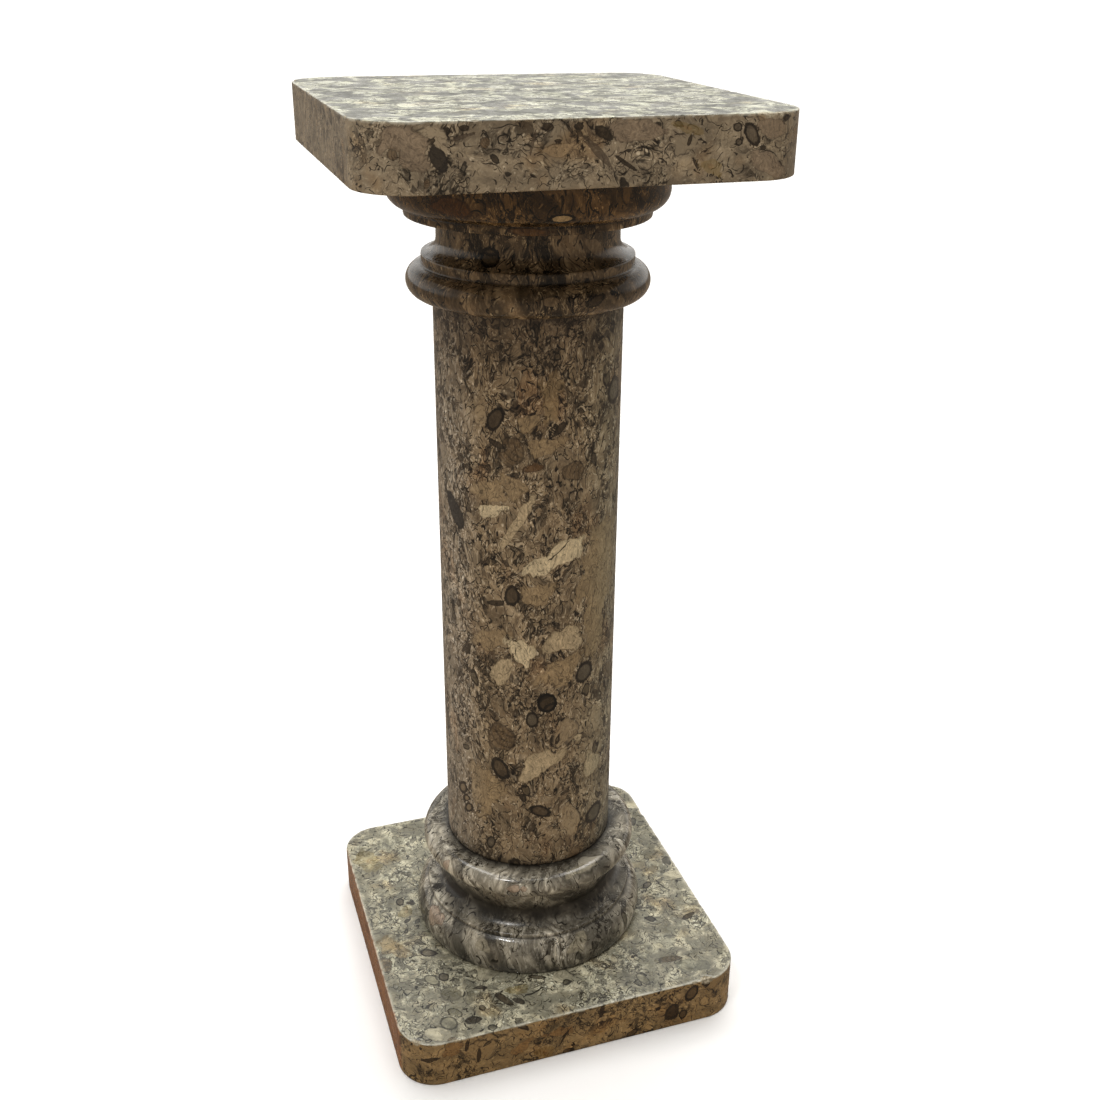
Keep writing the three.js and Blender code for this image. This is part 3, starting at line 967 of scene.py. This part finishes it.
capitalFossils = {
    ('brown', 'turned'): [(529, 232, 55, 8, -3), (450, 208, 48, 20, -10)],
    ('brightOval', 'turned'): [(562, 219, 29, 9, 3)],
    ('dark', 'turned'): [(511, 216, 11, 7, 90), (596, 301, 22, 11, 30)],
    ('black', 'turned'): [(490, 258, 24, 20, 80)],
    ('dullPale', 'turned'): [
        (595, 247, 22, 14, -60), (611, 275, 22, 13, 35), (551, 302, 18, 9, 0), (488, 295, 28, 7, 85),
    ],
}
baseStreaks = {'turned': [(516, 879, 20, 1.6, -28)]}
turnedMaterial('baseMarble', baseStone, turnedLook, baseLine, baseFossils, baseStreaks)
turnedMaterial('capitalMarble', capitalStone, capitalLook, capitalLine, capitalFossils, {})

slabLook = {
    'Dark': (62, 54, 41), 'Mid': (141, 128, 106), 'Pale': (208, 197, 170), 'Lump': (164, 151, 126),
    'Sliver': (34, 28, 20), 'Shell Rim': (40, 34, 26), 'Shell Core': (92, 85, 70), 'Ochre': (176, 138, 78),
    'lumps': 0.55, 'slivers': 0.75, 'shells': 0.3, 'stain': 0.45, 'bands': 0.35, 'flow': 0.15, 'busy': -0.02,
    'flecks': 0.2, 'bed': (0.035, 0.03, 0.012), 'bedTurn': (0.25, 0.15, 0),
    'shift': (0.47, 0.12, 0.91), 'squeeze': (1, 1, 1),
    'roughLow': 0.2, 'roughHigh': 0.45, 'bumpHeight': 0.1,
    'topFade': (0.9, 0.3), 'leftFade': (1.5, 0.2), 'whitest': (0.86, 0.86, 0.82),
    'arrisPatch': 9, 'chipDark': (108, 96, 74), 'chipPale': (214, 204, 178), 'chipShare': 0.85,
}
# The top tints paint a sheen on the tops, the side tints reflection and shade on the sides, the left cast a
# brown reflection on the plinth's side towards -X; the arris colour is wear with a painted highlight
topSlabLook = dict(
    slabLook, shift=(0.93, 0.64, 0.38), topLightTint=(226, 246, 255), sideLightTint=(250, 248, 250),
    topLightVary=(0.42, 2.3), arrisWearAndHighlight=(216, 214, 200), leftReflectionShare=0, leftReflectionColour=(150, 140, 126),
    leftReflectionTint=(1, 1, 1, 1),
)
plinthLook = dict(
    slabLook, Dark=(66, 60, 48), Mid=(157, 148, 125), Pale=(226, 218, 194), Lump=(184, 171, 144),
    topLightTint=(244, 252, 255), sideLightTint=(238, 212, 176), topLightVary=(0.62, 1.2), arrisWearAndHighlight=(204, 200, 182),
    leftReflectionShare=0.35, leftReflectionColour=(160, 108, 67), leftReflectionTint=(1.16, 0.9, 0.84, 1),
)
plinthFossils = {
    ('ochre', 'top'): [(368, 861, 28, 19, 0), (406, 912, 15, 12, 0), (518, 990, 18, 10, 0)],
    ('ochreTan', 'top'): [(391, 947, 23, 16, -10)],
    ('greyPale', 'top'): [(389, 842, 25, 15, 0), (659, 951, 46, 28, 40)],
    ('grey', 'top'): [(692, 965, 35, 14, 5)],
    ('fan', 'top'): [(385, 965, 18, 13, -60), (670, 959, 25, 6, 10)],
    ('thin', 'top'): [(451, 994, 22, 15, 0), (470, 998, 15, 10, 70)],
    ('greyShell', 'top'): [
        (432, 980, 17, 10, -22), (455, 1013, 17, 9, -18), (449, 1023, 19, 14, -10), (643, 979, 18, 8, -35),
        (585, 999, 6, 4, 0),
    ],
    ('shell', 'top'): [
        (400, 902, 9, 8, 0), (428, 953, 18, 8, -5), (444, 977, 13, 8, -10), (473, 985, 28, 7, -12),
        (537, 977, 19, 4, -5), (649, 919, 14, 6, -6), (647, 885, 11, 6, 30),
    ],
    ('dark', 'top'): [
        (411, 903, 9, 4, 0), (473, 1020, 17, 8, 12), (504, 999, 21, 8, -28), (519, 1001, 13, 6, -20),
        (688, 916, 15, 5, 25),
    ],
    ('tan', 'front'): [(522, 1047, 27, 7, 42), (453, 1048, 21, 13, 15), (559, 1032, 24, 8, 20)],
    ('ochre', 'front'): [(545, 1052, 22, 10, 20)],
    ('shell', 'front'): [(692, 993, 20, 10, 55), (683, 1014, 11, 7, 55)],
    ('dark', 'front'): [
        (672, 1012, 21, 11, 60), (706, 983, 10, 6, 10), (418, 1050, 13, 10, -15), (479, 1055, 15, 4, 85),
        (467, 1046, 13, 4, 80), (602, 1011, 15, 5, 75), (428, 1063, 24, 4, 20),
    ],
}
plinthStreaks = {
    'top': [
        (536, 992, 22, 2, 35), (429, 1008, 15, 2, 22), (663, 885, 13, 1.8, -40), (673, 906, 15, 1.8, -40),
    ],
    'front': [(568, 1035, 39, 2, 46), (535, 1044, 15, 3, 35), (612, 1033, 12, 3, 45)],
}
topSlabFossils = {
    ('greyTan', 'front'): [
        (406, 148, 71, 42, -8), (364, 160, 33, 20, 90), (636, 130, 62, 23, -5), (770, 164, 54, 20, -40),
        (774, 128, 36, 20, 0),
    ],
    ('tan', 'front'): [(561, 150, 32, 14, 0), (577, 147, 7, 7, 0)],
    ('ochre', 'front'): [(688, 128, 32, 11, -20), (713, 167, 20, 16, 0)],
    ('charcoal', 'front'): [(439, 160, 31, 15, -58)],
    ('leaf', 'front'): [(371, 173, 23, 11, -52)],
    ('band', 'front'): [(462, 137, 33, 4, 18), (533, 142, 26, 4, 78), (599, 153, 45, 8, -50)],
    ('fan', 'front'): [(485, 143, 13, 11, 60), (392, 156, 15, 14, 0), (427, 184, 11, 7, 90)],
    ('shell', 'front'): [(738, 127, 10, 10, 0), (752, 134, 26, 14, -65), (739, 142, 8, 8, 0)],
    ('dark', 'front'): [
        (432, 141, 7, 6, 0), (464, 128, 12, 6, 0), (495, 159, 15, 7, -50), (371, 189, 17, 8, 0),
        (548, 127, 13, 9, -10), (579, 126, 9, 8, 0), (558, 141, 9, 4, 0), (604, 133, 21, 11, -45),
        (627, 164, 36, 4, -35), (690, 140, 13, 4, 68), (696, 164, 17, 4, -65), (763, 148, 7, 5, 0),
        (790, 118, 11, 9, 0),
    ],
}
topSlabStreaks = {
    'front': [
        (505, 126, 23, 1.6, -8), (488, 164, 18, 2, -12), (641, 151, 46, 2.5, 2), (770, 153, 23, 2, -18),
        (616, 176, 20, 1.4, 90),
    ],
}


def slabMaterial(name, piece, look, spec, fossils, streaks):
    tree, place, stone, colour = startMaterial(name, piece, look, spec, fossils, streaks)
    # The top is paler and cooler and brighter in patches, and the sides browner: partly the stone's own
    # tone, partly painted light, a painted sheen on the top and painted reflection and shade on the sides.
    # No part of the stone is whiter than a given white
    axes = put('SeparateXYZ', {'Vector': place})
    edge = (spec['height'] + spec['thickness']) * mm
    topFrom, topTo = (edge - depth * mm for depth in look['topFade'])
    vary = step(plus(stone['Ground'], times(stone['Patch'], 0.7)), 0.77, 0.93, *look['topLightVary'])
    topLightTint = scaled(paint(*look['topLightTint'])[:3], vary)
    colour = tinted(colour, blend(step(axes[2], topFrom, topTo), paint(*look['sideLightTint']), topLightTint))
    colour = vectorMaths('MINIMUM', colour, look['whitest'])
    # The plinth's side towards -X is calmer and redder: a painted reflection of a brown floor
    leftFrom, leftTo = (depth * mm - spec['side'] / 2 * mm for depth in look['leftFade'])
    reflectedFloor = blend(look['leftReflectionShare'], colour, paint(*look['leftReflectionColour']))
    colour = blend(step(axes[0], leftFrom, leftTo), colour, tinted(reflectedFloor, look['leftReflectionTint']))
    # Pale arrises, partly wear and partly painted highlight, and fresh stone in the chips
    arris, chip = fieldValue(tree, 'arris'), fieldValue(tree, 'chip')
    wornAndHighlit = times(arris, step(cloud(place, look['arrisPatch'], 2, 0.6), 0.35, 0.6, 0.1, 0.75))
    colour = blend(wornAndHighlit, colour, paint(*look['arrisWearAndHighlight']))
    fresh = blend(step(stone['Grain'], 0.3, 0.7), paint(*look['chipDark']), paint(*look['chipPale']))
    colour = blend(times(chip, look['chipShare']), colour, fresh)
    endMaterial(place, stone, colour, chip, look)


slabMaterial('plinthMarble', plinthStone, plinthLook, plinth, plinthFossils, plinthStreaks)
slabMaterial('topSlabMarble', topSlabStone, topSlabLook, topSlab, topSlabFossils, topSlabStreaks)
print('Materials made')

for piece, node, slot in (
    (plinthStone, 'plinth', 'slab_marble'), (baseStone, 'base', 'turned_marble'),
    (shaftStone, 'shaft', 'shaft_marble'), (capitalStone, 'capital', 'turned_marble'),
    (topSlabStone, 'top_slab', 'slab_marble'),
):
    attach(piece, 'root')
    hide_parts(node)
print('Pieces stand for their nodes')


# Floor, lights and camera

studio = {
    'floorSide': 60, 'floorColour': (0.97, 0.97, 0.965, 1), 'floorBounce': (0.42, 0.36, 0.29, 1),
    'floorMirrored': (0.2, 0.17, 0.14, 1), 'backdrop': (1.0, 1.0, 1.0, 1),
    'backdropMirrored': (1.0, 0.97, 0.92, 1), 'backdropSeen': 1.05, 'highShade': 0.4,
    'fill': 0.42, 'fillColour': (1.0, 0.93, 0.84, 1), 'frontShade': 0.12,
    'overheadFrom': (0.09, 0.25, 1.0), 'overheadWidth': 50, 'overheadPower': 2.9,
    'stripPlace': (-1.1, -0.9, 2.6), 'stripSize': (0.5, 0.04), 'stripPower': 15, 'stripAim': (0, 0, 0.4),
}


def makeFloor(spec):
    # Pale to the camera, dimmer and warmer in what it throws back on the stone, dark in the polish
    half = spec['floorSide'] / 2
    mesh = bpy.data.meshes.new('floor')
    corners = [(-half, -half, 0), (half, -half, 0), (half, half, 0), (-half, half, 0)]
    mesh.from_pydata(corners, [], [(0, 1, 2, 3)])
    floor = intoScene('floor', mesh)
    material = bpy.data.materials.new('paleFloor')
    tree = emptyTree(material)
    path = put('LightPath', {}, tree)
    seen = put('BsdfDiffuse', {'Color': spec['floorColour']}, tree)
    dimmer = blend(path['Is Glossy Ray'], spec['floorBounce'], spec['floorMirrored'])
    thrown = put('BsdfDiffuse', {'Color': dimmer})
    mixed = put('MixShader', {0: path['Is Camera Ray'], 1: thrown[0], 2: seen[0]})
    put('OutputMaterial', {'Surface': mixed[0]})
    mesh.materials.append(material)


def makeWorld(spec):
    # Plain for the camera. For what the polish sees, bright low down behind, dimmer overhead and in
    # front. Dimmer and warmer for the soft fill.
    world = bpy.data.worlds.new('studio')
    tree = emptyTree(world)
    path = put('LightPath', {}, tree)
    direction = put('SeparateXYZ', {'Vector': put('TexCoord', {}, tree)['Generated']})
    ahead = plus(direction[1], times(direction[2], 0.6))
    strength = times(step(ahead, -0.3, 0.6, spec['frontShade'], spec['backdropSeen']),
                     step(direction[2], 0.2, 0.5, 1.0, spec['highShade']))
    seen = put('Background', {'Color': spec['backdropMirrored'], 'Strength': strength})
    fill = put('Background', {'Color': spec['fillColour'], 'Strength': spec['fill']}, tree)
    mixed = put('MixShader', {0: path['Is Diffuse Ray'], 1: seen[0], 2: fill[0]})
    plain = put('Background', {'Color': spec['backdrop']}, tree)
    mixed = put('MixShader', {0: path['Is Camera Ray'], 1: mixed[0], 2: plain[0]})
    put('OutputWorld', {'Surface': mixed[0]})
    bpy.context.scene.world = world


def makeOverhead(spec):
    # A wide soft light from above and a little behind, even over the floor
    light = bpy.data.lights.new('overhead', 'SUN')
    light.energy = spec['overheadPower']
    light.angle = math.radians(spec['overheadWidth'])
    lamp = intoScene('overhead', light)
    lamp.rotation_euler = (-Vector(spec['overheadFrom'])).to_track_quat('-Z', 'Y').to_euler()


def makeStrip(spec):
    # A narrow white lamp, high on the left in front
    light = bpy.data.lights.new('strip', 'AREA')
    light.shape = 'RECTANGLE'
    light.size, light.size_y = spec['stripSize']
    light.energy = spec['stripPower']
    lamp = intoScene('strip', light)
    lamp.location = spec['stripPlace']
    aim = Vector(spec['stripAim']) - Vector(spec['stripPlace'])
    lamp.rotation_euler = aim.to_track_quat('-Z', 'Y').to_euler()


def makeCamera(spec):
    data = bpy.data.cameras.new('camera')
    data.sensor_width = spec['sensor']
    data.lens = spec['lens']
    data.shift_x, data.shift_y = spec['shift']
    camera = intoScene('camera', data)
    camera.matrix_world = Matrix.Translation(spec['place']) @ Matrix(cameraAxes(spec)).transposed().to_4x4()
    bpy.context.scene.camera = camera


makeFloor(studio)
makeWorld(studio)
makeOverhead(studio)
makeStrip(studio)
makeCamera(view)
bpy.context.scene.view_settings.view_transform = 'Standard'
print('Studio set')
